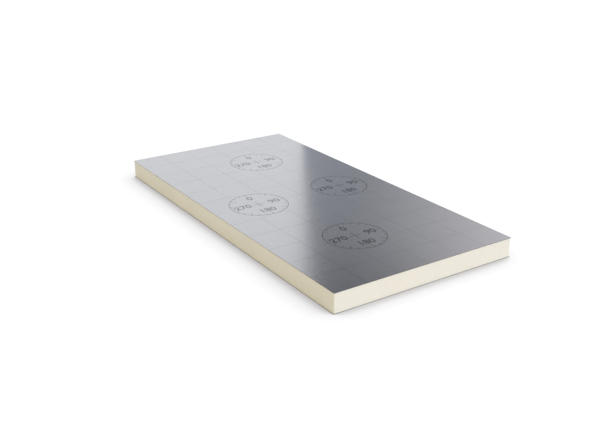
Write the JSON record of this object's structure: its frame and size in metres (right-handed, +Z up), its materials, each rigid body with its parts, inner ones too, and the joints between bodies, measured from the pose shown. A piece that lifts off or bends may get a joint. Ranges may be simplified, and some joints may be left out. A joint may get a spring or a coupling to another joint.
{
  "type": "polyiso insulation board",
  "caption": "Flat rectangular rigid foam insulation board with a thin foil facer bonded to each broad face, standing slightly proud of the sawn foam edges.",
  "frame": {"origin": "middle of the board's underside", "axes": "+X along the board's length, +Y along its width, +Z up through its thickness"},
  "size_m": [1.2, 0.6, 0.058],
  "materials": {
    "rigid_foam": "pale cream closed-cell rigid foam, sawn, matte",
    "foil_facer": "satin aluminium foil laminate, lightly grained, with a thin grey printed cutting grid"
  },
  "bodies": {
    "root": {"foam_core": "rigid_foam", "top_facer": "foil_facer", "bottom_facer": "foil_facer"}
  },
  "joints": []
}
